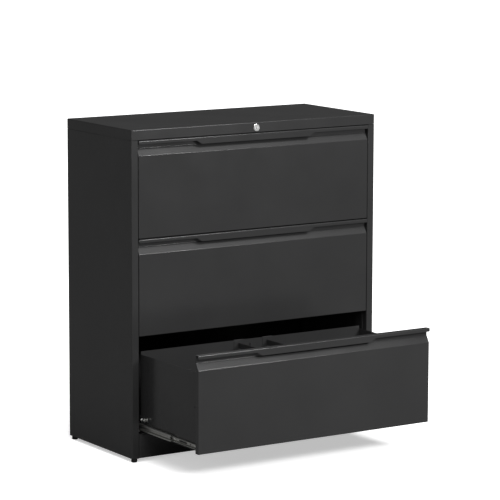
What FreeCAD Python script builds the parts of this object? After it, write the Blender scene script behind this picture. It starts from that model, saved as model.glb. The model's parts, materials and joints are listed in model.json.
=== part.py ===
"""Three-drawer steel lateral filing cabinet, in millimetres.

Frame: +X to the right, +Y to the back, +Z up, origin on the floor under the middle of the body.
The bottom drawer stands open at rest; drawers 1 and 2 are shut. One STEP file is written per piece.
Drawer pieces are drawn shut, with z counted from the bottom edge of the drawer's front.
Slides are drawn for the left side and mirrored; s is the distance from the slide post's face.
"""
import FreeCAD
import Part
import math
import os

Vector = FreeCAD.Vector
ORIGIN = Vector(0, 0, 0)
X_AXIS = Vector(1, 0, 0)
Y_AXIS = Vector(0, 1, 0)
Z_AXIS = Vector(0, 0, 1)
OVERSHOOT = 1.0  # how far a cutting tool stands past the metal it cuts
HAIR = 0.01  # keeps a full-round end from meeting itself

# ---- driving dimensions: the body
cabinet_width = 900.0
cabinet_depth = 400.0
cabinet_height = 1030.0
body_sheet = 1.0
bend_radius = 1.5
floor_gap = 12.0
flange_width = 24.0
flange_return = 15.0
rear_flange = 15.0
apron_height = 31.5
apron_seam = 1.0
tab_height = 34.0
kick_height = 74.5
kick_recess = 1.0
kick_side_gap = 1.0
base_rise = 21.0
base_side_gap = 1.0
bead_width = 26.0
bead_depth = 3.0
bead_margin = 90.0

# ---- the bays and the drawer fronts
drawer_count = 3
open_drawer = 3
gap_over_kick = 4.4
gap_between_fronts = 2.5
gap_under_apron = 2.6
front_side_gap = 1.6
drawer_sheet = 0.8
drawer_bend = 1.2
front_depth = 16.4
pull_zone = 46.0
slope_height = 22.0
recess_depth = 13.0
lip_overhang = 2.0
lip_leg = 11.0
lip_bend = 2.2
hem_thickness = 1.6
tab_leg = 22.0
tab_half_width = 200.0
tab_slant = 18.0
ridge_round = 3.0
outline_round = 3.0
corner_round = 2.0

# ---- the drawer boxes
liner_flange = 12.0
liner_side_gap = 0.3
rear_wall_drop = 47.2
side_wall_drop = 56.5
floor_rise = 4.0
side_flange = 12.0
side_hole_radius = 3.5
side_hole_setback = 25.0
side_hole_rise = 136.0
rib_width = 22.0
rib_depth = 3.0
rib_margin = 14.0
rail_offset = 53.0
rail_thickness = 2.0
rail_height = 18.0
rail_sheet = 1.2
rail_plate_width = 36.0
rail_plate_height = 62.0
rail_hook_drop = 8.0

# ---- the ball-bearing slides
slide_thickness = 12.7
slide_front_gap = 1.0
slide_rear_room = 32.6
stop_margin = 7.7
slide_centre_rise = 17.6
outer_height = 29.4
outer_sheet = 1.2
outer_flange = 9.0
outer_lip = 1.9
middle_height = 20.6
middle_sheet = 1.0
middle_start = 2.3
middle_end = 10.6
middle_lip = 1.6
middle_groove_height = 8.6
middle_groove_depth = 4.4
middle_groove_slant = 0.9
middle_nose_notch = 12.0
middle_shortening = 20.0
middle_ratio = 0.57
inner_height = 14.0
inner_sheet = 1.2
inner_start = 6.0
slide_bend = 0.2
slide_nose_round = 5.0
cage_sheet = 0.5
cage_length = 120.0
cage_setback = 110.0
outer_cage_start = 1.5
outer_cage_end = 7.6
outer_cage_rise = 2.1
inner_cage_start = 5.2
inner_cage_end = 9.3
inner_cage_rise = 1.55
inner_cage_clearance = 0.2
ball_clearance = 0.05
ball_hole_clearance = 0.1
outer_ball_s = 5.0
inner_ball_s = 7.9
balls_per_row = 4
slot_length = 46.0
slot_height = 6.0
slot_setback = 92.0
open_hole_radius = 3.0
open_hole_setback = 49.0
inner_screw_setbacks = (20.0, 139.5)
inner_last_screw_room = 40.0
outer_screw_radius = 3.0

# ---- the slide posts
post_offset = 27.5
post_width = 40.0
post_front_gap = 2.6
post_rear_setback = 74.0
post_foot_gap = 1.0
post_head_gap = 2.0

# ---- fasteners
screw_radius = 2.0
screw_head_radius = 4.0
screw_head_height = 2.2
screw_head_round = 1.2
fastener_clearance = 0.05

# ---- feet
foot_inset = 13.0
foot_radius = 9.5
foot_pad_height = 9.0
foot_pad_round = 1.0
foot_collar_radius = 7.0
stud_radius = 4.0
stud_length = 36.0
stud_clearance = 0.08
bracket_plate = 2.0
bracket_lift = 2.0
bracket_size = 21.0
bracket_boss_radius = 7.0
bracket_boss_height = 12.0
panel_clearance = 0.5

# ---- the lock
lock_drop = 17.6
bezel_radius = 11.5
bezel_height = 2.5
bezel_round = 1.2
barrel_radius = 9.4
barrel_length = 23.5
barrel_hole_clearance = 0.2
nut_flats = 24.0
nut_thickness = 4.0
plug_radius = 6.0
plug_clearance = 0.05
plug_setback = 0.4
key_slot_width = 1.8
key_slot_height = 7.6
key_slot_depth = 12.0
spindle_radius = 3.0
spindle_rear_setback = 25.0
crank_thickness = 3.0
crank_radius = 12.0
crank_hub_radius = 7.0
crank_tip_radius = 4.5
linkage_pin_radius = 2.5
crank_pin_length = 6.0
crank_slot_clearance = 0.5
wedge_slot_clearance = 0.3
lock_travel = 12.0
bar_gap = 1.0
cross_bar_thickness = 2.0
cross_bar_height = 22.0
cross_bar_drop = 38.5
cross_bar_reach = 20.0
lock_bar_sheet = 2.0
lock_bar_rear_setback = 14.0
lock_bar_flange = 16.0
lock_bar_clear = 1.5
lock_bar_pin_inset = 10.0
lock_bar_notch_drop = 48.0
hook_arm_height = 12.0
hook_nose_width = 10.0
hook_overlap = 12.0
hook_round = 1.5
hook_gap = 0.6
hook_lift = 1.5
guide_clearance = 0.3
guide_wall = 6.0
guide_width = 20.0
guide_heights = (250.0, 560.0)
cross_guide_offset = 121.0
cross_guide_reach = 60.0
guide_front_clear = 3.0
bearing_setback = 50.0
bearing_length = 12.0
bearing_wall = 7.0

# ---- the catch on each drawer
catch_sheet = 1.2
catch_rise = 44.3
catch_height = 16.0
catch_plate_drop = 9.0
catch_rear_setback = 36.7
catch_length = 52.0
catch_front_overlap = 11.0
catch_neck_radius = 4.0
catch_head_radius = 6.0
catch_head_length = 5.0
catch_end_gap = 1.2
catch_screw_offset = 31.0
catch_screw_drop = 4.5

# ---- top stiffeners
stiffener_offset = 250.0
stiffener_width = 36.0
stiffener_depth = 10.0
stiffener_flange = 12.0
stiffener_end_gap = 12.0

# ---- what follows from them
half_width = cabinet_width / 2
front_y = -cabinet_depth / 2
rear_y = cabinet_depth / 2
apron_bottom = cabinet_height - apron_height
bay_bottom = floor_gap + kick_height + gap_over_kick
bay_top = apron_bottom - gap_under_apron
front_height = (bay_top - bay_bottom - (drawer_count - 1) * gap_between_fronts) / drawer_count
drawer_pitch = front_height + gap_between_fronts
front_half = half_width - flange_width - front_side_gap
ridge_z = front_height - pull_zone
slope_top = ridge_z + slope_height
liner_front = front_y + front_depth - drawer_sheet
liner_rear = front_y + front_depth
post_face = -half_width + post_offset
box_half = half_width - post_offset - slide_thickness
slide_front = liner_rear + slide_front_gap
slide_length = rear_y - slide_rear_room - slide_front
travel = slide_length
rest_opening = travel - stop_margin
box_rear = slide_front + slide_length - stop_margin
rear_wall_top = front_height - rear_wall_drop
side_wall_top = front_height - side_wall_drop
base_top = floor_gap + base_rise
tab_top = cabinet_height - body_sheet - bend_radius - panel_clearance
lock_z = cabinet_height - lock_drop
spindle_rear = rear_y - spindle_rear_setback
cross_bar_front = spindle_rear + bar_gap
cross_bar_bottom = cabinet_height - cross_bar_drop
lock_bar_rear = rear_y - lock_bar_rear_setback
lock_bar_x = post_face + lock_bar_clear
crank_reach = crank_radius * math.sin(math.pi / 4)
cross_travel = 2 * crank_reach
catch_y = box_rear - catch_rear_setback


def to_space(plane, u, v):
    """A point of a section: plane "x" holds (y, z), plane "y" holds (x, z), plane "z" holds (x, y)."""
    if plane == "x":
        return Vector(0, u, v)
    if plane == "y":
        return Vector(u, 0, v)
    return Vector(u, v, 0)


def outline_face(points, radii, plane):
    """A closed outline with each corner rounded by its radius, as a face."""
    starts = []
    middles = []
    ends = []
    count = len(points)
    for i in range(count):
        corner = Vector(points[i][0], points[i][1], 0)
        back = Vector(points[i - 1][0], points[i - 1][1], 0) - corner
        ahead = Vector(points[(i + 1) % count][0], points[(i + 1) % count][1], 0) - corner
        back.normalize()
        ahead.normalize()
        half = back.getAngle(ahead) / 2
        if radii[i] > 0:
            tangent = radii[i] / math.tan(half)
            bisector = back + ahead
            bisector.normalize()
            starts.append(corner + back * tangent)
            middles.append(corner + bisector * (radii[i] / math.sin(half) - radii[i]))
            ends.append(corner + ahead * tangent)
        else:
            starts.append(corner)
            middles.append(None)
            ends.append(corner)
    edges = []
    for i in range(count):
        start, middle, end = (p and to_space(plane, p.x, p.y) for p in (starts[i], middles[i], ends[i]))
        onward = to_space(plane, starts[(i + 1) % count].x, starts[(i + 1) % count].y)
        if middle:
            edges.append(Part.Arc(start, middle, end).toShape())
        if end.distanceToPoint(onward) > 1e-6:
            edges.append(Part.LineSegment(end, onward).toShape())
    return Part.Face(Part.Wire(edges))


def extruded(points, plane, start, end, radii=None):
    """An outline carried along the axis that its plane is named for."""
    face = outline_face(points, radii or [0] * len(points), plane)
    axis = {"x": X_AXIS, "y": Y_AXIS, "z": Z_AXIS}[plane]
    face.translate(axis * start)
    return face.extrude(axis * (end - start))


def folded(path, sheet, bend, plane, start, end):
    """A bent sheet: path is one face of the section, and the sheet lies on its right."""
    steps = [(b[0] - a[0], b[1] - a[1]) for a, b in zip(path, path[1:])]
    steps = [(u / math.hypot(u, v), v / math.hypot(u, v)) for u, v in steps]
    normals = [(v, -u) for u, v in steps]
    offset = []
    near = []
    far = []
    for i, (u, v) in enumerate(path):
        before = normals[max(i - 1, 0)]
        after = normals[min(i, len(normals) - 1)]
        share = sheet / (1 + before[0] * after[0] + before[1] * after[1])
        offset.append((u + (before[0] + after[0]) * share, v + (before[1] + after[1]) * share))
        if 0 < i < len(path) - 1:
            turn = steps[i - 1][0] * steps[i][1] - steps[i - 1][1] * steps[i][0]
            near.append(bend if turn > 0 else bend + sheet)
            far.append(bend + sheet if turn > 0 else bend)
        else:
            near.append(0)
            far.append(0)
    return extruded(list(path) + offset[::-1], plane, start, end, near + far[::-1])


def block(x0, x1, y0, y1, z0, z1):
    return Part.makeBox(x1 - x0, y1 - y0, z1 - z0, Vector(x0, y0, z0))


def rod(radius, start, end):
    start = Vector(*start)
    along = Vector(*end) - start
    return Part.makeCylinder(radius, along.Length, start, along)


def ball(radius, x, y, z):
    return Part.makeSphere(radius, Vector(x, y, z))


def joined(first, *others):
    return first.fuse(list(others)).removeSplitter()


def mirrored(shape):
    return shape.mirror(ORIGIN, X_AXIS)


def both_sides(solids):
    return solids + [mirrored(solid) for solid in solids]


def group(solids):
    return Part.makeCompound([s for solid in solids for s in solid.Solids])


def upright_edges(shape, wanted):
    """The straight edges along Z that pass wanted(x, y)."""
    found = []
    for edge in shape.Edges:
        a, b = edge.Vertexes[0].Point, edge.Vertexes[-1].Point
        if math.hypot(a.x - b.x, a.y - b.y) < 1e-6 and abs(a.z - b.z) > 1 and wanted(a.x, a.y):
            found.append(edge)
    return found


# ---- body panels
def side_panel():
    """The left side: a skin with a front flange and its return, a rear flange and a tab inside the cap."""
    x = -half_width
    path = [
        (x + flange_width, front_y + flange_return),
        (x + flange_width, front_y),
        (x, front_y),
        (x, rear_y),
        (x + rear_flange, rear_y),
    ]
    skin = folded(path, body_sheet, bend_radius, "z", floor_gap, apron_bottom - apron_seam)
    tab = block(
        x + body_sheet, x + 2 * body_sheet,
        front_y + flange_return, rear_y - flange_return,
        tab_top - tab_height, tab_top,
    )
    return joined(skin, tab)


def rounded_cap(inset, round_radius):
    """A slab the size of the cap, rounded at its top edges and upright corners."""
    slab = block(
        -half_width + inset, half_width - inset, front_y + inset, rear_y - inset,
        apron_bottom, cabinet_height - inset,
    )
    low_edges = [e for e in slab.Edges if all(abs(v.Z - apron_bottom) < 1e-6 for v in e.Vertexes)]
    rounded = [e for e in slab.Edges if not any(e.isSame(low) for low in low_edges)]
    return slab.makeFillet(round_radius, rounded)


def top_panel():
    """The cap: a top sheet with an apron on four sides and a stiffening return behind the front apron."""
    outer_round = bend_radius + body_sheet
    cap = rounded_cap(0, outer_round).cut(rounded_cap(body_sheet, bend_radius))
    inside = half_width - 3 * body_sheet
    lip = block(-inside, inside, front_y, front_y + flange_return, apron_bottom, apron_bottom + body_sheet)
    keep = rounded_cap(0, outer_round)
    hole_radius = barrel_radius + barrel_hole_clearance
    hole = rod(hole_radius, (0, front_y - body_sheet, lock_z), (0, front_y + 3 * body_sheet, lock_z))
    return joined(cap, lip.common(keep)).cut(hole)


def top_stiffeners():
    """Two hat channels under the top sheet, running front to back."""
    top = cabinet_height - body_sheet
    half = stiffener_width / 2
    low = top - stiffener_depth
    path = [
        (-half - stiffener_flange, top), (-half, top), (-half, low),
        (half, low), (half, top), (half + stiffener_flange, top),
    ]
    solids = []
    for x in (-stiffener_offset, stiffener_offset):
        moved = [(u + x, v) for u, v in path]
        ends = front_y + stiffener_end_gap, rear_y - stiffener_end_gap
        solids.append(folded(moved, body_sheet, bend_radius, "y", *ends))
    return group(solids)


def back_panel():
    """A flat sheet inside the rear flanges, with two pressed beads across it."""
    half = half_width - body_sheet - bend_radius - panel_clearance
    y = rear_y - body_sheet
    low = floor_gap + body_sheet
    high = tab_top
    sheet = block(-half, half, y - body_sheet, y, low, high)
    for z in (low + (high - low) / 3, low + 2 * (high - low) / 3):
        reach = half - bead_margin
        outer = [
            (y - body_sheet, z - bead_width / 2), (y - body_sheet - bead_depth, z - bead_width / 4),
            (y - body_sheet - bead_depth, z + bead_width / 4), (y - body_sheet, z + bead_width / 2),
        ]
        groove = [(u + body_sheet, v) for u, v in outer]
        sheet = sheet.fuse(extruded(outer, "x", -reach, reach))
        sheet = sheet.cut(extruded(groove, "x", -reach + body_sheet, reach - body_sheet))
    return sheet.removeSplitter()


def base_panel():
    """The bottom pan, its flanges folded down."""
    half = half_width - flange_width - body_sheet - base_side_gap
    y0 = front_y + flange_return + base_side_gap
    y1 = rear_y - 2 * body_sheet - panel_clearance
    pan = block(-half, half, y0, y1, floor_gap + body_sheet, base_top)
    inner = block(
        -half + body_sheet, half - body_sheet, y0 + body_sheet, y1 - body_sheet,
        floor_gap, base_top - body_sheet,
    )
    top_edges = [e for e in pan.Edges if all(abs(v.Z - base_top) < 1e-6 for v in e.Vertexes)]
    return pan.makeFillet(bend_radius, top_edges).cut(inner)


def kick_plate():
    """The plinth front between the side flanges: a shallow pan, open at the back."""
    half = half_width - flange_width - kick_side_gap
    y0 = front_y + kick_recess
    y1 = front_y + flange_return
    low = floor_gap
    high = floor_gap + kick_height
    pan = block(-half, half, y0, y1, low, high)
    front_edges = [e for e in pan.Edges if all(abs(v.Y - y0) < 1e-6 for v in e.Vertexes)]
    pan = pan.makeFillet(bend_radius + body_sheet, front_edges)
    inner = block(
        -half + body_sheet, half - body_sheet, y0 + body_sheet, y1 + body_sheet,
        low + body_sheet, high - body_sheet,
    )
    return pan.cut(inner)


def slide_screw_places():
    """Where the outer members are screwed to the posts: the middle of each post's width."""
    return (
        liner_rear + post_front_gap + post_width / 2,
        rear_y - post_rear_setback + post_width / 2,
    )


def slide_centre(drawer):
    return drawer_bottom(drawer) + slide_centre_rise


def slide_posts():
    """The two upright channels on the left side that carry the slides."""
    solids = []
    for middle in slide_screw_places():
        y0 = middle - post_width / 2
        y1 = middle + post_width / 2
        skin = -half_width + body_sheet
        path = [(skin, y1), (post_face, y1), (post_face, y0), (skin, y0)]
        low = base_top + post_foot_gap
        high = tab_top - tab_height - post_head_gap
        post = folded(path, body_sheet, bend_radius, "z", low, high)
        for drawer in range(1, drawer_count + 1):
            z = slide_centre(drawer)
            radius = screw_radius + fastener_clearance
            far = post_face + OVERSHOOT
            post = post.cut(rod(radius, (post_face - 2 * body_sheet, middle, z), (far, middle, z)))
        solids.append(post)
    return solids


# ---- slides
def member(path, sheet, length, front):
    """A slide member's bent section, from its front end backwards."""
    return folded([(post_face + s, z) for s, z in path], sheet, slide_bend, "y", front, front + length)


def outer_member():
    half = outer_height / 2
    path = [
        (outer_flange, outer_lip - half), (outer_flange, -half), (0, -half),
        (0, half), (outer_flange, half), (outer_flange, half - outer_lip),
    ]
    solid = member(path, outer_sheet, slide_length, slide_front)
    for y in slide_screw_places():
        far = post_face + outer_sheet + OVERSHOOT
        hole = rod(outer_screw_radius + fastener_clearance, (post_face - OVERSHOOT, y, 0), (far, y, 0))
        solid = solid.cut(hole)
    return solid


def middle_member():
    half = middle_height / 2
    low = middle_groove_height / 2
    deep = middle_start + middle_groove_depth
    path = [
        (middle_end, middle_lip - half), (middle_end, -half), (middle_start, -half),
        (middle_start, -low - middle_groove_slant), (deep, -low), (deep, low),
        (middle_start, low + middle_groove_slant), (middle_start, half),
        (middle_end, half), (middle_end, half - middle_lip),
    ]
    length = slide_length - middle_shortening
    solid = member(path, middle_sheet, length, slide_front)
    ends = [
        (slide_front, -half), (slide_front + length, -half),
        (slide_front + length, half), (slide_front, half),
    ]
    shape = extruded(ends, "x", post_face, post_face + slide_thickness, [slide_nose_round] * 4)
    notch = block(
        post_face, post_face + slide_thickness, slide_front - OVERSHOOT, slide_front + middle_nose_notch,
        -low, low,
    )
    return solid.common(shape).cut(notch)


def inner_screw_places():
    setbacks = (*inner_screw_setbacks, slide_length - inner_last_screw_room)
    return [slide_front + setback for setback in setbacks]


def inner_member():
    half = inner_height / 2
    path = [(inner_start, half), (slide_thickness, half), (slide_thickness, -half), (inner_start, -half)]
    solid = member(path, inner_sheet, slide_length, slide_front)
    near = post_face + inner_start
    far = post_face + slide_thickness + OVERSHOOT
    y = slide_front + open_hole_setback
    solid = solid.cut(rod(open_hole_radius, (near, y, 0), (far, y, 0)))
    for y in inner_screw_places():
        solid = solid.cut(rod(screw_radius + fastener_clearance, (near, y, 0), (far, y, 0)))
    y0 = slide_front + slot_setback - slot_length / 2
    y1 = y0 + slot_length
    corners = [(y0, -slot_height / 2), (y1, -slot_height / 2), (y1, slot_height / 2), (y0, slot_height / 2)]
    return solid.cut(extruded(corners, "x", near, far, [slot_height / 2 - HAIR] * 4))


def ball_cage(start, end, rise, ball_s, ball_z, ball_radius):
    """A cage strip with its two rows of balls, as separate solids."""
    path = [(end, -rise), (start, -rise), (start, rise), (end, rise)]
    front = slide_front + cage_setback
    cage = member(path, cage_sheet, cage_length, front)
    step = cage_length / balls_per_row
    balls = []
    for row in (-1, 1):
        for i in range(balls_per_row):
            y = front + step * (i + 0.5)
            x = post_face + ball_s
            hole_radius = ball_radius + ball_hole_clearance
            hole = rod(hole_radius, (x, y, row * (rise - 2 * OVERSHOOT)), (x, y, row * (rise + OVERSHOOT)))
            cage = cage.cut(hole)
            balls.append(ball(ball_radius, x, y, row * ball_z))
    return [cage] + balls


def outer_cage():
    track = outer_height / 2 - outer_sheet
    ball_z = (track + middle_height / 2) / 2
    radius = (track - middle_height / 2) / 2 - ball_clearance
    return ball_cage(outer_cage_start, outer_cage_end, middle_height / 2 + outer_cage_rise,
                     outer_ball_s, ball_z, radius)


def inner_cage():
    """Its two strips stand apart, clear of the middle member's groove."""
    track = middle_height / 2 - middle_sheet
    ball_z = (track + inner_height / 2) / 2
    radius = (track - inner_height / 2) / 2 - ball_clearance
    cage, *balls = ball_cage(inner_cage_start, inner_cage_end, inner_height / 2 + inner_cage_rise,
                             inner_ball_s, ball_z, radius)
    front = slide_front + cage_setback
    half = middle_groove_height / 2 + middle_groove_slant + middle_sheet + inner_cage_clearance
    gap = block(
        post_face + inner_cage_start - OVERSHOOT, post_face + inner_cage_end + OVERSHOOT,
        front - OVERSHOOT, front + cage_length + OVERSHOOT, -half, half,
    )
    return [cage.cut(gap)] + balls


def outer_slides():
    solids = []
    for drawer in range(1, drawer_count + 1):
        solids.append(outer_member().translated(Z_AXIS * slide_centre(drawer)))
    return group(both_sides(solids))


def slide_screws():
    """The flush screws that hold each outer member to its posts."""
    solids = []
    for drawer in range(1, drawer_count + 1):
        for y in slide_screw_places():
            z = slide_centre(drawer)
            shank = rod(screw_radius, (post_face - 4 * body_sheet, y, z), (post_face, y, z))
            head = rod(outer_screw_radius, (post_face, y, z), (post_face + outer_sheet, y, z))
            solids.append(joined(shank, head))
    return group(both_sides(solids))


# ---- feet
def foot_centres():
    x = half_width - foot_inset
    y = rear_y - foot_inset
    return {"front_left": (-x, -y), "front_right": (x, -y), "rear_left": (-x, y), "rear_right": (x, y)}


def foot(x, y):
    """A levelling glide: a pad with a stepped collar, on a stud that screws into its bracket."""
    pad = rod(foot_radius, (x, y, 0), (x, y, foot_pad_height))
    rims = [e for e in pad.Edges if e.Length > math.pi * foot_radius]
    pad = pad.makeFillet(foot_pad_round, rims)
    plate_z = floor_gap + bracket_lift
    collar = rod(foot_collar_radius, (x, y, foot_pad_height), (x, y, plate_z))
    stud = rod(stud_radius, (x, y, foot_pad_height), (x, y, foot_pad_height + stud_length))
    return joined(pad, collar, stud)


def foot_brackets():
    """A corner plate with a threaded boss for each foot."""
    solids = []
    for x, y in foot_centres().values():
        side = -1 if x < 0 else 1
        end = -1 if y < 0 else 1
        wall_x = side * (half_width - body_sheet - panel_clearance)
        wall_y = end * (rear_y - 2 * body_sheet - panel_clearance)
        inner_x = wall_x - side * bracket_size
        inner_y = wall_y - end * bracket_size
        low = floor_gap + bracket_lift
        plate = block(min(wall_x, inner_x), max(wall_x, inner_x), min(wall_y, inner_y),
                      max(wall_y, inner_y), low, low + bracket_plate)
        boss = rod(bracket_boss_radius, (x, y, low), (x, y, low + bracket_boss_height))
        high = low + bracket_boss_height
        bore = rod(stud_radius + stud_clearance, (x, y, low - OVERSHOOT), (x, y, high + OVERSHOOT))
        solids.append(joined(plate, boss).cut(bore))
    return group(solids)


# ---- drawer pieces, drawn shut with z from the front's bottom edge
def front_shell(inset, round_radius, depth):
    """The front's outline carried across the drawer: face, slope, recess wall and top."""
    ridge_corner = inset * math.tan(math.atan2(recess_depth, slope_height) / 2)
    y = front_y + inset
    points = [
        (front_y + depth, inset),
        (y, inset),
        (y, ridge_z - ridge_corner),
        (y + recess_depth, slope_top - ridge_corner),
        (y + recess_depth, front_height - inset),
        (front_y + depth, front_height - inset),
    ]
    outer = drawer_bend + drawer_sheet - inset
    inner = drawer_bend + inset
    radii = [0, outer, ridge_round - inset, inner, 0, 0]
    half = front_half - inset
    solid = extruded(points, "x", -half, half, radii)
    edges = upright_edges(solid, lambda x, at: abs(abs(x) - half) < 1e-3 and abs(at - y) < 1e-3)
    return solid.makeFillet(round_radius, edges)


def drawer_front():
    """The folded front: a shallow pan, sloped into the recess, with the lip and its pull tab above."""
    pan = front_shell(0, corner_round, front_depth).cut(
        front_shell(drawer_sheet, corner_round - drawer_sheet, front_depth + 5))
    under = front_height - drawer_sheet
    nose = front_y - lip_overhang + drawer_sheet
    wall = front_y + recess_depth
    lip_path = [
        (wall, under - 2 * lip_bend),
        (wall, under),
        (nose, under),
        (nose, front_height - lip_leg + outline_round),
    ]
    lip = folded(lip_path, drawer_sheet, lip_bend, "x", -front_half, front_half)
    leg_low = front_height - lip_leg
    tab_low = front_height - tab_leg
    leg_top = under - lip_bend
    wide = tab_half_width + tab_slant
    leg_outline = [
        (-front_half, leg_top), (-front_half, leg_low), (-wide, leg_low), (-tab_half_width, tab_low),
        (tab_half_width, tab_low), (wide, leg_low), (front_half, leg_low), (front_half, leg_top),
    ]
    radii = [0] + [outline_round] * 6 + [0]
    leg = extruded(leg_outline, "y", front_y - lip_overhang, front_y - lip_overhang + hem_thickness, radii)
    return joined(pan, lip, leg)


def drawer_liner():
    """The inner sheet that closes the front from behind, with a flange under the drawer's floor."""
    half = front_half - drawer_sheet - liner_side_gap
    low = floor_rise - drawer_sheet
    path = [(liner_rear + liner_flange, low), (liner_front, low), (liner_front, rear_wall_top)]
    liner = folded(path, drawer_sheet, drawer_bend, "x", -half, half)
    beside = block(box_half, half, liner_rear, liner_rear + liner_flange, low, low + liner_flange)
    return liner.cut([beside, mirrored(beside)])


def drawer_side():
    """The left wall, its front flange lying on the liner, with a small hole near its front."""
    path = [(-box_half + side_flange, liner_rear), (-box_half, liner_rear), (-box_half, box_rear)]
    side = folded(path, drawer_sheet, drawer_bend, "z", floor_rise + drawer_bend, side_wall_top)
    y = liner_rear + side_hole_setback
    start = (-box_half - OVERSHOOT, y, side_hole_rise)
    end = (-box_half + drawer_sheet + OVERSHOOT, y, side_hole_rise)
    return side.cut(rod(side_hole_radius, start, end))


def drawer_tray():
    """Floor and rear wall folded from one sheet, with a pressed rib in the rear wall."""
    half = box_half - drawer_sheet
    floor_front = liner_rear + drawer_sheet + drawer_bend
    path = [(box_rear, rear_wall_top), (box_rear, floor_rise), (floor_front, floor_rise)]
    sheet = folded(path, drawer_sheet, drawer_bend, "x", -half, half)
    wall = box_rear - drawer_sheet
    rib_path = [
        (-rib_width / 2, wall), (-rib_width / 2, wall - rib_depth),
        (rib_width / 2, wall - rib_depth), (rib_width / 2, wall),
    ]
    rib_top = rear_wall_top - rib_margin
    rib = folded(rib_path, drawer_sheet, drawer_bend / 4, "z", floor_rise + rib_margin, rib_top)
    return joined(sheet, rib)


def file_rail(x):
    """A hanging-file rail: a bar on edge between two plates that hook over the front and rear walls."""
    wall = box_rear - drawer_sheet
    low = rear_wall_top - rail_plate_height
    hook_end = rear_wall_top - rail_hook_drop
    front_path = [
        (liner_rear, low), (liner_rear, rear_wall_top),
        (liner_front, rear_wall_top), (liner_front, hook_end),
    ]
    rear_path = [(box_rear, hook_end), (box_rear, rear_wall_top), (wall, rear_wall_top), (wall, low)]
    half = rail_plate_width / 2
    hooks = [folded(path, rail_sheet, 0, "x", x - half, x + half) for path in (front_path, rear_path)]
    bar = block(x - rail_thickness / 2, x + rail_thickness / 2, liner_rear, wall,
                side_wall_top - rail_height, side_wall_top)
    return joined(bar, *hooks)


def drawer_rails():
    return group([file_rail(-rail_offset), file_rail(rail_offset)])


def inner_slides():
    return group(both_sides([inner_member().translated(Z_AXIS * slide_centre_rise)]))


def drawer_catch():
    """The headed stud on its plate that the lock bar's hook drops in front of."""
    outer = -box_half - catch_sheet
    y0 = catch_y - catch_front_overlap
    low = catch_rise - catch_plate_drop
    plate = block(outer, -box_half, y0, y0 + catch_length, low, low + catch_height)
    end = post_face + catch_end_gap
    neck = rod(catch_neck_radius, (outer, catch_y, catch_rise), (end, catch_y, catch_rise))
    head = rod(catch_head_radius, (end + catch_head_length, catch_y, catch_rise),
               (end, catch_y, catch_rise))
    return joined(plate, neck, head)


def drawer_screws():
    """Pan-head screws: three in each inner slide member and one in the catch plate."""
    solids = []
    seat = -box_half - inner_sheet
    for y in inner_screw_places():
        shank = rod(screw_radius, (seat, y, slide_centre_rise), (-box_half, y, slide_centre_rise))
        head = rod(screw_head_radius, (seat - screw_head_height, y, slide_centre_rise),
                   (seat, y, slide_centre_rise))
        rim = [e for e in head.Edges if abs(e.CenterOfMass.x - seat + screw_head_height) < 1e-6]
        solids.append(joined(head.makeFillet(screw_head_round, rim), shank))
    solids = both_sides(solids)
    y = catch_y + catch_screw_offset
    z = catch_rise - catch_screw_drop
    plate = -box_half - catch_sheet
    head = rod(screw_head_radius, (plate - screw_head_height, y, z), (plate, y, z))
    rim = [e for e in head.Edges if abs(e.CenterOfMass.x - plate + screw_head_height) < 1e-6]
    solids.append(head.makeFillet(screw_head_round, rim))
    return group(solids)


# ---- lock
def lock_housing():
    """The lock's barrel with its rounded bezel, bored for the plug."""
    face = front_y - bezel_height
    bezel = rod(bezel_radius, (0, face, lock_z), (0, front_y, lock_z))
    rim = [e for e in bezel.Edges if abs(e.CenterOfMass.y - face) < 1e-6]
    bezel = bezel.makeFillet(bezel_round, rim)
    barrel = rod(barrel_radius, (0, front_y, lock_z), (0, front_y + barrel_length, lock_z))
    end = front_y + barrel_length + OVERSHOOT
    bore = rod(plug_radius + plug_clearance, (0, face - OVERSHOOT, lock_z), (0, end, lock_z))
    return joined(bezel, barrel).cut(bore)


def lock_nut():
    """The hexagonal nut behind the apron."""
    reach = nut_flats / 2 / math.cos(math.pi / 6)
    points = []
    for i in range(6):
        angle = math.pi / 3 * i
        points.append((reach * math.cos(angle), lock_z + reach * math.sin(angle)))
    y0 = front_y + body_sheet
    nut = extruded(points, "y", y0, y0 + nut_thickness)
    start = (0, y0 - OVERSHOOT, lock_z)
    end = (0, y0 + nut_thickness + OVERSHOOT, lock_z)
    return nut.cut(rod(barrel_radius + fastener_clearance, start, end))


def lock_plug():
    face = front_y - bezel_height + plug_setback
    plug = rod(plug_radius, (0, face, lock_z), (0, front_y + barrel_length, lock_z))
    slot = block(-key_slot_width / 2, key_slot_width / 2, face - OVERSHOOT, face + key_slot_depth,
                 lock_z - key_slot_height / 2, lock_z + key_slot_height / 2)
    return plug.cut(slot)


def lock_spindle():
    start = front_y + barrel_length
    return rod(spindle_radius, (0, start, lock_z), (0, spindle_rear, lock_z))


def lock_crank():
    """The crank on the spindle's rear end; its pin drives the cross bar."""
    y0 = spindle_rear - crank_thickness
    tip_x = crank_reach
    tip_z = lock_z - crank_reach
    hub = rod(crank_hub_radius, (0, y0, lock_z), (0, spindle_rear, lock_z))
    tip = rod(crank_tip_radius, (tip_x, y0, tip_z), (tip_x, spindle_rear, tip_z))
    across = crank_tip_radius * math.sin(math.pi / 4)
    arm = extruded(
        [(-across, lock_z - across), (across, lock_z + across),
         (tip_x + across, tip_z + across), (tip_x - across, tip_z - across)],
        "y", y0, spindle_rear,
    )
    pin_end = spindle_rear + crank_pin_length
    pin = rod(linkage_pin_radius, (tip_x, spindle_rear, tip_z), (tip_x, pin_end, tip_z))
    end = spindle_rear + OVERSHOOT
    bore = rod(spindle_radius + fastener_clearance, (0, y0 - OVERSHOOT, lock_z), (0, end, lock_z))
    return joined(hub, tip, arm, pin).cut(bore)


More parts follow.
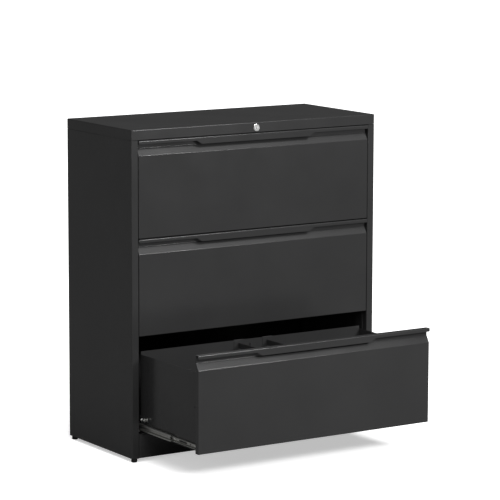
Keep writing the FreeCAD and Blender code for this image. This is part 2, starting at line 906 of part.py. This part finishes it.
def wedge_pin_place():
    """The lock bar's pin at rest, as (x, z)."""
    x = lock_bar_x + lock_bar_pin_inset
    z = cross_bar_bottom + cross_bar_height - linkage_pin_radius - 3 * wedge_slot_clearance
    return x, z


def lock_cross_bar():
    """The bar along the back: a slot for the crank's pin, a slanted slot that lowers the lock bar."""
    y0 = cross_bar_front
    y1 = y0 + cross_bar_thickness
    pin_x, pin_z = wedge_pin_place()
    low = pin_z - lock_travel - linkage_pin_radius - 2 * guide_wall / 3
    left = pin_x - guide_wall - linkage_pin_radius
    head_right = pin_x + cross_travel + guide_wall + 2 * linkage_pin_radius
    top = pin_z + linkage_pin_radius + 2 * guide_wall / 3
    bar = block(left, cross_bar_reach, y0, y1, cross_bar_bottom, cross_bar_bottom + cross_bar_height)
    head = block(left, head_right, y0, y1, low, top)
    half = linkage_pin_radius + crank_slot_clearance
    slot_low = lock_z - crank_radius - half
    slot_high = lock_z - crank_reach + half
    corners = [
        (crank_reach - half, slot_low), (crank_reach + half, slot_low),
        (crank_reach + half, slot_high), (crank_reach - half, slot_high),
    ]
    crank_slot = extruded(corners, "y", y0 - OVERSHOOT, y1 + OVERSHOOT, [half - HAIR] * 4)
    half = linkage_pin_radius + wedge_slot_clearance
    length = math.hypot(cross_travel, lock_travel)
    along = (cross_travel / length, -lock_travel / length)
    across = (-along[1], along[0])
    ends = ((pin_x - along[0] * half, pin_z - along[1] * half),
            (pin_x + cross_travel + along[0] * half, pin_z - lock_travel + along[1] * half))
    corners = []
    for (x, z), side in ((ends[0], -half), (ends[1], -half), (ends[1], half), (ends[0], half)):
        corners.append((x + across[0] * side, z + across[1] * side))
    wedge_slot = extruded(corners, "y", y0 - OVERSHOOT, y1 + OVERSHOOT, [half - HAIR] * 4)
    return joined(bar, head).cut(crank_slot).cut(wedge_slot)


def hook_bottom(drawer):
    """The height of a raised hook's nose: just above the catch's head."""
    return drawer_bottom(drawer) + catch_rise + catch_head_radius + hook_lift


def lock_bar():
    """The upright angle bar at the left rear, with a pin on top that rides in the cross bar."""
    low = hook_bottom(drawer_count)
    path = [
        (lock_bar_x, lock_bar_rear - lock_bar_flange), (lock_bar_x, lock_bar_rear),
        (lock_bar_x + lock_bar_flange, lock_bar_rear),
    ]
    pin_x, pin_z = wedge_pin_place()
    high = pin_z + linkage_pin_radius + guide_wall / 2
    bar = folded(path, lock_bar_sheet, drawer_bend, "z", low, high)
    bar_front = lock_bar_rear - lock_bar_flange
    notch = block(
        lock_bar_x - OVERSHOOT, lock_bar_x + lock_bar_sheet + drawer_bend,
        bar_front - OVERSHOOT, lock_bar_rear - lock_bar_sheet,
        cabinet_height - lock_bar_notch_drop, high + OVERSHOOT,
    )
    pin = rod(linkage_pin_radius, (pin_x, cross_bar_front - OVERSHOOT, pin_z),
              (pin_x, lock_bar_rear - lock_bar_sheet, pin_z))
    return joined(bar.cut(notch), pin)


def lock_hooks():
    """The hook plates on the lock bar, one for each drawer's catch: an arm with a nose that hangs down."""
    solids = []
    near = lock_bar_x + lock_bar_sheet
    bar_front = lock_bar_rear - lock_bar_flange
    arm_rear = bar_front + hook_overlap
    nose_rear = catch_y - catch_head_radius - hook_gap
    nose_front = nose_rear - hook_nose_width
    for drawer in range(1, drawer_count + 1):
        nose_low = hook_bottom(drawer)
        arm_low = nose_low + lock_travel
        arm_high = arm_low + hook_arm_height
        corners = [
            (nose_front, nose_low), (nose_rear, nose_low), (nose_rear, arm_low),
            (arm_rear, arm_low), (arm_rear, arm_high), (nose_front, arm_high),
        ]
        radii = [hook_round, hook_round, 0, 0, 0, hook_round]
        solids.append(extruded(corners, "x", near, near + lock_bar_sheet, radii))
    return group(solids)


def lock_guides():
    """Nylon guides: two for the cross bar, two for the lock bar and the spindle's rear bearing."""
    wall_y = rear_y - 2 * body_sheet
    half = guide_width / 2
    room = guide_clearance
    solids = []
    for x in (lock_bar_x + cross_guide_offset, -cross_guide_reach):
        low = cross_bar_bottom - guide_wall
        high = cross_bar_bottom + cross_bar_height + guide_wall
        body = block(x - half, x + half, cross_bar_front - guide_wall, wall_y, low, high)
        slot = block(x - half - OVERSHOOT, x + half + OVERSHOOT, cross_bar_front - room,
                     cross_bar_front + cross_bar_thickness + room,
                     cross_bar_bottom - room, cross_bar_bottom + cross_bar_height + room)
        solids.append(body.cut(slot))
    for z in guide_heights:
        front = lock_bar_rear - lock_bar_flange
        body = block(lock_bar_x - guide_front_clear, lock_bar_x + lock_bar_flange + guide_wall / 2,
                     front - guide_wall / 2, wall_y, z, z + guide_width)
        along = block(lock_bar_x - room, lock_bar_x + lock_bar_sheet + room, front - room,
                      lock_bar_rear + room, z - OVERSHOOT, z + guide_width + OVERSHOOT)
        across = block(lock_bar_x - room, lock_bar_x + lock_bar_flange + room,
                       lock_bar_rear - lock_bar_sheet - room, lock_bar_rear + room,
                       z - OVERSHOOT, z + guide_width + OVERSHOOT)
        corner = block(lock_bar_x, lock_bar_x + lock_bar_sheet + drawer_bend,
                       lock_bar_rear - lock_bar_sheet - drawer_bend, lock_bar_rear,
                       z - OVERSHOOT, z + guide_width + OVERSHOOT)
        solids.append(body.cut([along, across, corner]))
    y1 = rear_y - bearing_setback
    hanger = block(-bearing_wall, bearing_wall, y1 - bearing_length, y1,
                   lock_z - bearing_wall, cabinet_height - body_sheet)
    start = (0, y1 - bearing_length - OVERSHOOT, lock_z)
    bore = rod(spindle_radius + fastener_clearance, start, (0, y1 + OVERSHOOT, lock_z))
    solids.append(hanger.cut(bore))
    return group(solids)


# ---- assembly
def drawer_bottom(drawer):
    """The height of a front's bottom edge; drawer 1 is the top one."""
    return bay_bottom + (drawer_count - drawer) * drawer_pitch


def opening(drawer):
    return rest_opening if drawer == open_drawer else 0.0


def placed(shape, drawer, share=1.0):
    """A drawer's piece at its height, moved out by its share of the drawer's opening."""
    return shape.translated(Vector(0, -opening(drawer) * share, drawer_bottom(drawer)))


def body_nodes():
    side = side_panel()
    return {
        "left_side_panel": side,
        "right_side_panel": mirrored(side),
        "top_panel": top_panel(),
        "top_stiffeners": top_stiffeners(),
        "back_panel": back_panel(),
        "base_panel": base_panel(),
        "kick_plate": kick_plate(),
        "slide_posts": group(both_sides(slide_posts())),
        "outer_slides": outer_slides(),
        "slide_screws": slide_screws(),
        "foot_brackets": foot_brackets(),
        "lock_housing": lock_housing(),
        "lock_nut": lock_nut(),
        "lock_guides": lock_guides(),
        "lock_plug": lock_plug(),
        "lock_spindle": lock_spindle(),
        "lock_crank": lock_crank(),
        "lock_cross_bar": lock_cross_bar(),
        "lock_bar": lock_bar(),
        "lock_hooks": lock_hooks(),
    }


def drawer_nodes(drawer):
    rise = Z_AXIS * slide_centre_rise
    side = drawer_side()
    middle = group(both_sides([middle_member().translated(rise)]))
    outer_balls = group(both_sides([s.translated(rise) for s in outer_cage()]))
    inner_balls = group(both_sides([s.translated(rise) for s in inner_cage()]))
    shapes = {
        "front": (drawer_front(), 1),
        "liner": (drawer_liner(), 1),
        "left_side": (side, 1),
        "right_side": (mirrored(side), 1),
        "tray": (drawer_tray(), 1),
        "file_rails": (drawer_rails(), 1),
        "inner_slides": (inner_slides(), 1),
        "screws": (drawer_screws(), 1),
        "catch": (drawer_catch(), 1),
        "middle_slides": (middle, middle_ratio),
        "outer_ball_cages": (outer_balls, middle_ratio / 2),
        "inner_ball_cages": (inner_balls, (1 + middle_ratio) / 2),
    }
    nodes = {}
    for name, (shape, share) in shapes.items():
        nodes[f"drawer_{drawer}_{name}"] = placed(shape, drawer, share)
    return nodes


def main():
    nodes = body_nodes()
    for name, (x, y) in foot_centres().items():
        nodes[f"foot_{name}"] = foot(x, y)
    for drawer in range(1, drawer_count + 1):
        nodes.update(drawer_nodes(drawer))
    os.makedirs("parts", exist_ok=True)
    for name, shape in nodes.items():
        shape.exportStep(f"parts/{name}.step")


main()
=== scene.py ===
"""Looks of the lateral filing cabinet: finishes, modelled screws, catches and feet, camera and light."""
import json
import math

import bpy
from mathutils import Matrix, Vector


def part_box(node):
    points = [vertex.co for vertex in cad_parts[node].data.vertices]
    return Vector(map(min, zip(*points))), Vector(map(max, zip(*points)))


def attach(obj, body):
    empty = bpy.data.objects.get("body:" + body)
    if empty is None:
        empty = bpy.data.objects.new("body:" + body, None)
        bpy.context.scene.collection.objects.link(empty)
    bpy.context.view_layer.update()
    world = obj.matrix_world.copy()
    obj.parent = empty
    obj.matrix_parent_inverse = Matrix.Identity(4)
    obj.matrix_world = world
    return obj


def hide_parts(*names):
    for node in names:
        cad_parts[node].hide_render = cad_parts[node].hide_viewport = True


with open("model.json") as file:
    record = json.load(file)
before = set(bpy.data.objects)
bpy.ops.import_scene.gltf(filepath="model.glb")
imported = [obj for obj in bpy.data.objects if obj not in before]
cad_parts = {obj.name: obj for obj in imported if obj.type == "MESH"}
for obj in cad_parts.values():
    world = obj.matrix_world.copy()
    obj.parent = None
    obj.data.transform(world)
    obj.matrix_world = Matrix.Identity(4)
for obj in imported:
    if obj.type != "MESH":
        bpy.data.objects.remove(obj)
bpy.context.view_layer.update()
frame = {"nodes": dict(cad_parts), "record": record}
nodes = frame["nodes"]
slot_of = {part["node"]: part["material_slot"] for part in frame["record"]["subparts"]}
scene = bpy.context.scene

DRAWERS = (1, 2, 3)
CORNERS = ("front_left", "front_right", "rear_left", "rear_right")

# ---- finishes: base colour, metallic, roughness
PAINT_COLOUR = (0.021, 0.021, 0.0212)
COAT_SPECULAR = 0.25


# ---- node helpers
class Finish:
    """One procedural material, built node by node around a Principled shader."""

    def __init__(self, name, colour, metallic, roughness, specular=0.5):
        self.material = bpy.data.materials.new(name)
        self.material.use_nodes = True
        self.material.diffuse_color = (*colour, 1.0)
        self.tree = self.material.node_tree
        self.shader = self.tree.nodes["Principled BSDF"]
        self.shader.inputs["Base Color"].default_value = (*colour, 1.0)
        self.shader.inputs["Metallic"].default_value = metallic
        self.shader.inputs["Roughness"].default_value = roughness
        self.shader.inputs["Specular IOR Level"].default_value = specular
        self.colour = colour
        self.roughness = roughness
        self.place = self.tree.nodes.new("ShaderNodeTexCoord").outputs["Object"]

    def link(self, start, end):
        self.tree.links.new(start, end)

    def stretched(self, scale):
        mapping = self.tree.nodes.new("ShaderNodeMapping")
        mapping.inputs["Scale"].default_value = scale
        self.link(self.place, mapping.inputs["Vector"])
        return mapping.outputs["Vector"]

    def noise(self, scale, detail=2.0, stretch=None, roughness=0.5):
        node = self.tree.nodes.new("ShaderNodeTexNoise")
        node.inputs["Scale"].default_value = scale
        node.inputs["Detail"].default_value = detail
        node.inputs["Roughness"].default_value = roughness
        self.link(self.stretched(stretch) if stretch else self.place, node.inputs["Vector"])
        return node.outputs["Fac"]

    def cells(self, scale):
        node = self.tree.nodes.new("ShaderNodeTexVoronoi")
        node.inputs["Scale"].default_value = scale
        self.link(self.place, node.inputs["Vector"])
        return node.outputs["Distance"]

    def ranged(self, value, low, high, start=0.3, end=0.7):
        node = self.tree.nodes.new("ShaderNodeMapRange")
        node.inputs["From Min"].default_value = start
        node.inputs["From Max"].default_value = end
        node.inputs["To Min"].default_value = low
        node.inputs["To Max"].default_value = high
        self.link(value, node.inputs["Value"])
        return node.outputs["Result"]

    def mottled(self, value, darker, lighter):
        """Base colour varies between two shades of the finish's own colour."""
        mix = self.tree.nodes.new("ShaderNodeMix")
        mix.data_type = "RGBA"
        mix.inputs["A"].default_value = (*[c * darker for c in self.colour], 1.0)
        mix.inputs["B"].default_value = (*[c * lighter for c in self.colour], 1.0)
        self.link(value, mix.inputs["Factor"])
        self.link(mix.outputs["Result"], self.shader.inputs["Base Color"])

    def uneven_gloss(self, value, less, more):
        self.link(self.ranged(value, self.roughness - less, self.roughness + more),
                  self.shader.inputs["Roughness"])

    def relief(self, value, height, strength, under=None):
        bump = self.tree.nodes.new("ShaderNodeBump")
        bump.inputs["Distance"].default_value = height
        bump.inputs["Strength"].default_value = strength
        self.link(value, bump.inputs["Height"])
        if under:
            self.link(under, bump.inputs["Normal"])
        self.link(bump.outputs["Normal"], self.shader.inputs["Normal"])
        return bump.outputs["Normal"]


def powder_coat(name, colour, roughness):
    """Satin powder coat: a very fine orange-peel skin with faint cloudiness."""
    finish = Finish(name, colour, 0.0, roughness, specular=COAT_SPECULAR)
    finish.mottled(finish.ranged(finish.noise(5.0, 3.0), 0.0, 1.0), 0.94, 1.06)
    finish.uneven_gloss(finish.noise(9.0, 4.0), 0.03, 0.03)
    peel = finish.relief(finish.noise(420.0, 2.0), 0.00012, 0.35)
    finish.relief(finish.noise(1700.0, 1.0), 0.00004, 0.3, under=peel)
    return finish.material


def rolled_steel(name, colour, roughness, grain):
    """Zinc-plated steel, its rolling grain running front to back."""
    finish = Finish(name, colour, 1.0, roughness)
    streaks = finish.noise(1.0, 3.0, stretch=grain)
    finish.mottled(finish.ranged(streaks, 0.0, 1.0), 0.8, 1.15)
    finish.uneven_gloss(finish.noise(60.0, 3.0), 0.06, 0.08)
    finish.relief(streaks, 0.00003, 0.4)
    return finish.material


def plated_metal(name, colour, roughness):
    """Smooth plating with faint handling haze."""
    finish = Finish(name, colour, 1.0, roughness)
    finish.mottled(finish.ranged(finish.noise(180.0, 3.0), 0.0, 1.0), 0.93, 1.04)
    finish.uneven_gloss(finish.noise(320.0, 3.0), 0.04, 0.06)
    finish.relief(finish.noise(900.0, 2.0), 0.00001, 0.25)
    return finish.material


def moulded_plastic(name, colour, roughness):
    """Moulded plastic with a fine spark-eroded texture."""
    finish = Finish(name, colour, 0.0, roughness, specular=0.4)
    finish.mottled(finish.ranged(finish.noise(140.0, 3.0), 0.0, 1.0), 0.88, 1.1)
    finish.uneven_gloss(finish.noise(200.0, 2.0), 0.05, 0.05)
    finish.relief(finish.cells(1400.0), 0.00004, 0.4)
    return finish.material


finishes = {
    "cabinet_paint": powder_coat("cabinet_powder_coat", PAINT_COLOUR, 0.24),
    "drawer_paint": powder_coat("drawer_powder_coat", PAINT_COLOUR, 0.22),
    "slide_steel": rolled_steel("slide_zinc_steel", (0.44, 0.44, 0.42), 0.34, (700.0, 14.0, 700.0)),
    "zinc_fasteners": plated_metal("bright_zinc", (0.8, 0.8, 0.78), 0.3),
    "ball_steel": plated_metal("polished_ball_steel", (0.58, 0.58, 0.57), 0.16),
    "lock_chrome": plated_metal("satin_nickel", (0.72, 0.72, 0.71), 0.2),
    "lock_plug_metal": plated_metal("worn_nickel", (0.4, 0.4, 0.4), 0.34),
    "nylon": moulded_plastic("natural_nylon", (0.72, 0.71, 0.66), 0.5),
    "foot_plastic": moulded_plastic("black_foot_plastic", (0.012, 0.012, 0.012), 0.5),
}
for name, node in nodes.items():
    node.data.materials.clear()
    node.data.materials.append(finishes[slot_of[name]])


# ---- modelled pieces
SCREW_HEAD_RADIUS = 0.004
SCREW_HEAD_HEIGHT = 0.0022
SCREW_SHANK_RADIUS = 0.002
SCREW_SHANK_LENGTH = 0.0012
RECESS_BLADE = (0.0046, 0.0008, 0.0024)
RECESS_TURN = 20.0
CATCH_PLATE_THICKNESS = 0.0012
STUD_FROM_PLATE_FRONT = 0.011
STUD_ABOVE_PLATE_FOOT = 0.009
STUD_NECK_RADIUS = 0.004
STUD_HEAD_RADIUS = 0.006
STUD_HEAD_LENGTH = 0.005
STUD_FLARE = 1.35
STUD_DISH = 0.0006
PLATE_CORNER = 0.003
FOOT_PAD_HEIGHT = 0.009
FOOT_PAD_RADIUS = 0.0095
PAD_FACETS = 64
PAD_FOOT_TAPER = 0.93
PAD_TOP_TAPER = 0.9
GRIP_INSET = 0.00015
GRIP_DEPTH = 0.0004
FOOT_NUT_RADIUS = 0.007
FOOT_NUT_HEIGHT = 0.005
THREAD_RADIUS = 0.004
THREAD_DEPTH = 0.0005
THREAD_PITCH = 0.00125


def begin_cylinder(radius, length, sides):
    """An upright cylinder standing on the origin, open for editing with nothing selected."""
    bpy.ops.object.select_all(action="DESELECT")
    bpy.ops.mesh.primitive_cylinder_add(vertices=sides, radius=radius, depth=length,
                                        location=(0.0, 0.0, length / 2))
    bpy.ops.object.transform_apply(location=True, rotation=True, scale=True)
    return bpy.context.object


def pick_faces(piece, wanted):
    """Open the piece for editing with only the wanted faces selected."""
    if piece.mode == "EDIT":
        bpy.ops.object.mode_set(mode="OBJECT")
    for edge in piece.data.edges:
        edge.select = False
    for vertex in piece.data.vertices:
        vertex.select = False
    for face in piece.data.polygons:
        face.select = wanted(face)
    bpy.ops.object.mode_set(mode="EDIT")
    bpy.ops.mesh.select_mode(type="FACE")


def pick_end(piece, upward=True):
    """Select the flat face at the piece's top or bottom."""
    heights = [face.center.z for face in piece.data.polygons]
    end = max(heights) if upward else min(heights)
    pick_faces(piece, lambda face: abs(face.center.z - end) < 1e-6 and abs(face.normal.z) > 0.9)


def step_out(rise, scale):
    """Draw the picked face on by rise and scale it about the upright axis."""
    bpy.ops.mesh.extrude_region_move(TRANSFORM_OT_translate={"value": (0.0, 0.0, rise)})
    bpy.ops.transform.resize(value=(scale, scale, 1.0), center_override=(0.0, 0.0, 0.0))


def close_editing(piece, smooth_angle=32.0):
    bpy.ops.object.mode_set(mode="OBJECT")
    bpy.ops.object.select_all(action="DESELECT")
    piece.select_set(True)
    bpy.context.view_layer.objects.active = piece
    bpy.ops.object.shade_smooth_by_angle(angle=math.radians(smooth_angle))


def apply_all(piece):
    bpy.context.view_layer.objects.active = piece
    for modifier in list(piece.modifiers):
        bpy.ops.object.modifier_apply(modifier=modifier.name)


def softened(piece, width, segments=2, angle=35.0):
    """Round the piece's sharp edges."""
    bevel = piece.modifiers.new("edge_round", "BEVEL")
    bevel.width = width
    bevel.segments = segments
    bevel.angle_limit = math.radians(angle)
    apply_all(piece)


def copy_at(piece, place, axis):
    """A copy with its own mesh, its upright axis turned to the given one and its foot at the place."""
    twin = piece.copy()
    twin.data = piece.data.copy()
    scene.collection.objects.link(twin)
    turn = Vector((0.0, 0.0, 1.0)).rotation_difference(Vector(axis))
    twin.matrix_world = Matrix.Translation(Vector(place)) @ turn.to_matrix().to_4x4()
    bpy.ops.object.select_all(action="DESELECT")
    twin.select_set(True)
    bpy.context.view_layer.objects.active = twin
    bpy.ops.object.transform_apply(location=True, rotation=True, scale=True)
    return twin


def joined(pieces):
    bpy.ops.object.select_all(action="DESELECT")
    for piece in pieces:
        piece.select_set(True)
    bpy.context.view_layer.objects.active = pieces[0]
    if len(pieces) > 1:
        bpy.ops.object.join()
    return pieces[0]


def hand_over(piece, name, body, slot, node):
    """Name, finish and hang the piece on its body, in place of its CAD node."""
    piece.name = name
    piece.data.name = name
    piece.data.materials.clear()
    piece.data.materials.append(finishes[slot])
    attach(piece, body)
    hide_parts(node)


def discard(piece):
    bpy.data.meshes.remove(piece.data)


def lone_parts(node, gap=0.006):
    """The lowest and highest corners of each separate solid in a CAD node's mesh."""
    cells = {}
    for vertex in nodes[node].data.vertices:
        key = tuple(math.floor(c / gap) for c in vertex.co)
        cells.setdefault(key, []).append(vertex.co)
    boxes = []
    while cells:
        queue = [next(iter(cells))]
        points = []
        while queue:
            key = queue.pop()
            if key not in cells:
                continue
            points += cells.pop(key)
            queue += [(key[0] + i, key[1] + j, key[2] + k)
                      for i in (-1, 0, 1) for j in (-1, 0, 1) for k in (-1, 0, 1)]
        boxes.append((Vector([min(p[i] for p in points) for i in range(3)]),
                      Vector([max(p[i] for p in points) for i in range(3)])))
    return boxes


def pan_head_screw():
    """A domed head with a cross recess on a short shank; the head's seat is at the origin."""
    rim = SCREW_HEAD_HEIGHT * 0.45
    screw = begin_cylinder(SCREW_HEAD_RADIUS, rim, 40)
    pick_end(screw)
    for rise, scale in ((0.24, 0.93), (0.19, 0.84), (0.12, 0.62)):
        step_out(SCREW_HEAD_HEIGHT * rise, scale)
    bpy.ops.object.mode_set(mode="OBJECT")
    pick_end(screw, upward=False)
    bpy.ops.mesh.inset(thickness=SCREW_HEAD_RADIUS - SCREW_SHANK_RADIUS)
    step_out(-SCREW_SHANK_LENGTH, 1.0)
    bpy.ops.object.mode_set(mode="OBJECT")
    blades = []
    for turn in (0.0, 90.0):
        bpy.ops.object.select_all(action="DESELECT")
        bpy.ops.mesh.primitive_cube_add(size=1.0, location=(0.0, 0.0, SCREW_HEAD_HEIGHT),
                                        rotation=(0.0, 0.0, math.radians(turn + RECESS_TURN)),
                                        scale=RECESS_BLADE)
        bpy.ops.object.transform_apply(location=True, rotation=True, scale=True)
        blades.append(bpy.context.object)
    for blade in blades:
        cut = screw.modifiers.new("cross_recess", "BOOLEAN")
        cut.operation = "DIFFERENCE"
        cut.solver = "EXACT"
        cut.object = blade
        apply_all(screw)
    for blade in blades:
        discard(blade)
    close_editing(screw)
    return screw


def catch_stud(reach):
    """The turned stud that the lock bar's hook drops in front of: neck, shoulder and chamfered head."""
    neck = reach - STUD_HEAD_LENGTH
    stud = begin_cylinder(STUD_NECK_RADIUS * STUD_FLARE, neck * 0.12, 48)
    pick_end(stud)
    step_out(0.0, 1.0 / STUD_FLARE)
    step_out(neck * 0.88, 1.0)
    step_out(0.0, STUD_HEAD_RADIUS / STUD_NECK_RADIUS)
    step_out(STUD_HEAD_LENGTH, 1.0)
    bpy.ops.mesh.inset(thickness=STUD_HEAD_RADIUS * 0.55)
    step_out(-STUD_DISH, 1.0)
    bpy.ops.object.mode_set(mode="OBJECT")
    softened(stud, 0.0005, 3)
    close_editing(stud)
    return stud


def catch_plate(low, high):
    """The stamped plate behind the stud, its ends rounded and its edges eased."""
    bpy.ops.object.select_all(action="DESELECT")
    thick = CATCH_PLATE_THICKNESS
    middle = (low + high) / 2
    bpy.ops.mesh.primitive_cube_add(size=1.0, location=(high.x - thick / 2, middle.y, middle.z),
                                    scale=(thick, high.y - low.y, high.z - low.z))
    plate = bpy.context.object
    bpy.ops.object.transform_apply(location=True, rotation=True, scale=True)

    def runs_across(edge):
        first, last = (plate.data.vertices[v].co.x for v in edge.vertices)
        return abs(first - last) > thick / 2

    corners = [edge for edge in plate.data.edges if runs_across(edge)]
    for vertex in plate.data.vertices:
        vertex.select = False
    for face in plate.data.polygons:
        face.select = False
    for edge in plate.data.edges:
        edge.select = edge in corners
    bpy.ops.object.mode_set(mode="EDIT")
    bpy.ops.mesh.select_mode(type="EDGE")
    bpy.ops.mesh.bevel(offset=PLATE_CORNER, segments=5)
    bpy.ops.object.mode_set(mode="OBJECT")
    softened(plate, 0.00025)
    close_editing(plate)
    return plate


def levelling_pad(height):
    """The moulded pad: ribbed grip round its rim and a collar up to the bracket."""
    pad = begin_cylinder(FOOT_PAD_RADIUS * PAD_FOOT_TAPER, 0.0008, PAD_FACETS)
    pick_end(pad)
    step_out(0.0007, 1.0 / PAD_FOOT_TAPER)
    step_out(FOOT_PAD_HEIGHT - 0.003, 1.0)
    step_out(0.0015, PAD_TOP_TAPER)
    step_out(0.0, FOOT_NUT_RADIUS / (FOOT_PAD_RADIUS * PAD_TOP_TAPER))
    step_out(height - FOOT_PAD_HEIGHT, 1.0)
    bpy.ops.object.mode_set(mode="OBJECT")
    middle = FOOT_PAD_HEIGHT / 2
    pick_faces(pad, lambda face: abs(face.normal.z) < 0.1 and abs(face.center.z - middle) < 0.001
               and round(math.atan2(face.center.y, face.center.x) / math.tau * PAD_FACETS + 0.5) % 2 == 0)
    bpy.ops.mesh.inset(thickness=GRIP_INSET, depth=-GRIP_DEPTH, use_individual=True)
    close_editing(pad)
    return pad


def threaded_stud(length):
    """The stud's thread, ridge by ridge."""
    root = (THREAD_RADIUS - THREAD_DEPTH) / THREAD_RADIUS
    stud = begin_cylinder(THREAD_RADIUS * root, THREAD_PITCH, 32)
    pick_end(stud)
    for _ in range(round(length / THREAD_PITCH) - 2):
        step_out(THREAD_PITCH * 0.4, 1.0 / root)
        step_out(THREAD_PITCH * 0.2, 1.0)
        step_out(THREAD_PITCH * 0.4, root)
    step_out(THREAD_PITCH * 0.7, 0.85)
    close_editing(stud, 20.0)
    return stud


def fit_drawer_fasteners(drawer, screw):
    body = f"drawer_{drawer}"
    node = f"drawer_{drawer}_screws"
    screws = []
    for low, high in lone_parts(node):
        middle = (low + high) / 2
        outward = 1.0 if middle.x > 0 else -1.0
        seat = (high.x if outward > 0 else low.x) - outward * SCREW_HEAD_HEIGHT
        screws.append(copy_at(screw, (seat, middle.y, middle.z), (outward, 0.0, 0.0)))
    hand_over(joined(screws), f"{node}_pan_heads", body, "zinc_fasteners", node)
    node = f"drawer_{drawer}_catch"
    low, high = (Vector(corner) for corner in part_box(node))
    hand_over(catch_plate(low, high), f"{node}_plate", body, "drawer_paint", node)
    foot = high.x - CATCH_PLATE_THICKNESS
    stud = catch_stud(foot - low.x)
    place = (foot, low.y + STUD_FROM_PLATE_FRONT, low.z + STUD_ABOVE_PLATE_FOOT)
    hand_over(copy_at(stud, place, (-1.0, 0.0, 0.0)), f"{node}_stud", body, "slide_steel", node)
    discard(stud)


def fit_levelling_feet():
    low, high = (Vector(corner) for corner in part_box(f"foot_{CORNERS[0]}"))
    pad = levelling_pad(FOOT_PAD_HEIGHT + FOOT_NUT_HEIGHT)
    stud = threaded_stud(high.z - low.z - FOOT_PAD_HEIGHT)
    for corner in CORNERS:
        node = f"foot_{corner}"
        low, high = (Vector(c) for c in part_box(node))
        x, y = (low.x + high.x) / 2, (low.y + high.y) / 2
        up = (0.0, 0.0, 1.0)
        hand_over(copy_at(pad, (x, y, low.z), up), f"{node}_pad", node, "foot_plastic", node)
        hand_over(copy_at(stud, (x, y, low.z + FOOT_PAD_HEIGHT), up), f"{node}_thread", node,
                  "zinc_fasteners", node)
    discard(pad)
    discard(stud)


screw = pan_head_screw()
for drawer in DRAWERS:
    fit_drawer_fasteners(drawer, screw)
discard(screw)
fit_levelling_feet()


# ---- floor, light and camera
def stage_floor(seen, glow, bounced):
    """A white, faintly glowing floor that bounces less light back than it shows."""
    bpy.ops.object.select_all(action="DESELECT")
    bpy.ops.mesh.primitive_plane_add(size=60.0, location=(0.0, 0.0, 0.0))
    floor = bpy.context.object
    floor.name = "studio_floor"
    material = bpy.data.materials.new("studio_floor_white")
    material.use_nodes = True
    tree = material.node_tree
    papers = []
    for grey, light in ((bounced, 0.0), (seen, glow)):
        paper = tree.nodes.new("ShaderNodeBsdfPrincipled")
        paper.inputs["Base Color"].default_value = (grey, grey, grey, 1.0)
        paper.inputs["Roughness"].default_value = 0.9
        paper.inputs["Specular IOR Level"].default_value = 0.0
        paper.inputs["Emission Color"].default_value = (1.0, 1.0, 1.0, 1.0)
        paper.inputs["Emission Strength"].default_value = light
        papers.append(paper.outputs["BSDF"])
    blend_by_camera_ray(tree, papers, tree.nodes["Material Output"])
    floor.data.materials.append(material)


def blend_by_camera_ray(tree, shaders, output):
    """The second shader is what shows, the first is what lights the object."""
    mix = tree.nodes.new("ShaderNodeMixShader")
    ray = tree.nodes.new("ShaderNodeLightPath")
    tree.links.new(ray.outputs["Is Camera Ray"], mix.inputs["Fac"])
    for socket, shader in enumerate(shaders, 1):
        tree.links.new(shader, mix.inputs[socket])
    tree.links.new(mix.outputs["Shader"], output.inputs["Surface"])


def softbox(name, place, target, width, height, power, colour=(1.0, 1.0, 1.0)):
    light = bpy.data.lights.new(name, "AREA")
    light.shape = "RECTANGLE"
    light.size = width
    light.size_y = height
    light.energy = power
    light.color = colour
    lamp = bpy.data.objects.new(name, light)
    scene.collection.objects.link(lamp)
    lamp.location = place
    lamp.rotation_euler = (Vector(target) - Vector(place)).to_track_quat("-Z", "Y").to_euler()


def sunlight(name, lean, spread, strength):
    """A broad light from above; lean tips it to the right and to the back, in degrees."""
    light = bpy.data.lights.new(name, "SUN")
    light.energy = strength
    light.angle = math.radians(spread)
    lamp = bpy.data.objects.new(name, light)
    scene.collection.objects.link(lamp)
    x, y = (math.tan(math.radians(v)) for v in lean)
    lamp.rotation_euler = Vector((-x, -y, -1.0)).to_track_quat("-Z", "Y").to_euler()


def studio_world(seen, lit):
    """White behind the object; a softer level lights it."""
    world = bpy.data.worlds.new("studio_world")
    scene.world = world
    world.use_nodes = True
    tree = world.node_tree
    tree.nodes.clear()
    skies = []
    for strength in (lit, seen):
        sky = tree.nodes.new("ShaderNodeBackground")
        sky.inputs["Color"].default_value = (1.0, 1.0, 1.0, 1.0)
        sky.inputs["Strength"].default_value = strength
        skies.append(sky.outputs["Background"])
    blend_by_camera_ray(tree, skies, tree.nodes.new("ShaderNodeOutputWorld"))


def studio_camera(place, azimuth, elevation, roll, lens):
    data = bpy.data.cameras.new("studio_camera")
    data.lens = lens
    data.sensor_width = 36.0
    data.clip_start = 0.1
    data.clip_end = 200.0
    camera = bpy.data.objects.new("studio_camera", data)
    scene.collection.objects.link(camera)
    a, e, r = (math.radians(v) for v in (azimuth, elevation, roll))
    back = Vector((math.sin(a) * math.cos(e), -math.cos(a) * math.cos(e), math.sin(e)))
    right = Vector((0.0, 0.0, 1.0)).cross(back).normalized()
    up = back.cross(right)
    right, up = right * math.cos(r) + up * math.sin(r), up * math.cos(r) - right * math.sin(r)
    turn = Matrix((right, up, back)).transposed()
    camera.matrix_world = Matrix.Translation(Vector(place)) @ turn.to_4x4()
    scene.camera = camera


stage_floor(0.9, 0.5, 0.2)
studio_world(1.0, 0.07)
sunlight("sky_panel", (-2.0, -31.0), 70.0, 4.3)
softbox("key_softbox", (1.25, -2.95, 1.6), (-0.2, -0.3, 0.6), 0.5, 0.5, 74.0)
softbox("corner_strip", (-2.05, -1.8, 0.9), (-0.45, -0.2, 0.6), 0.15, 1.2, 9.0)
studio_camera((-4.47654, -7.10081, 1.91683), -32.84, 8.911, 0.138, 191.466)
scene.view_settings.view_transform = "Standard"
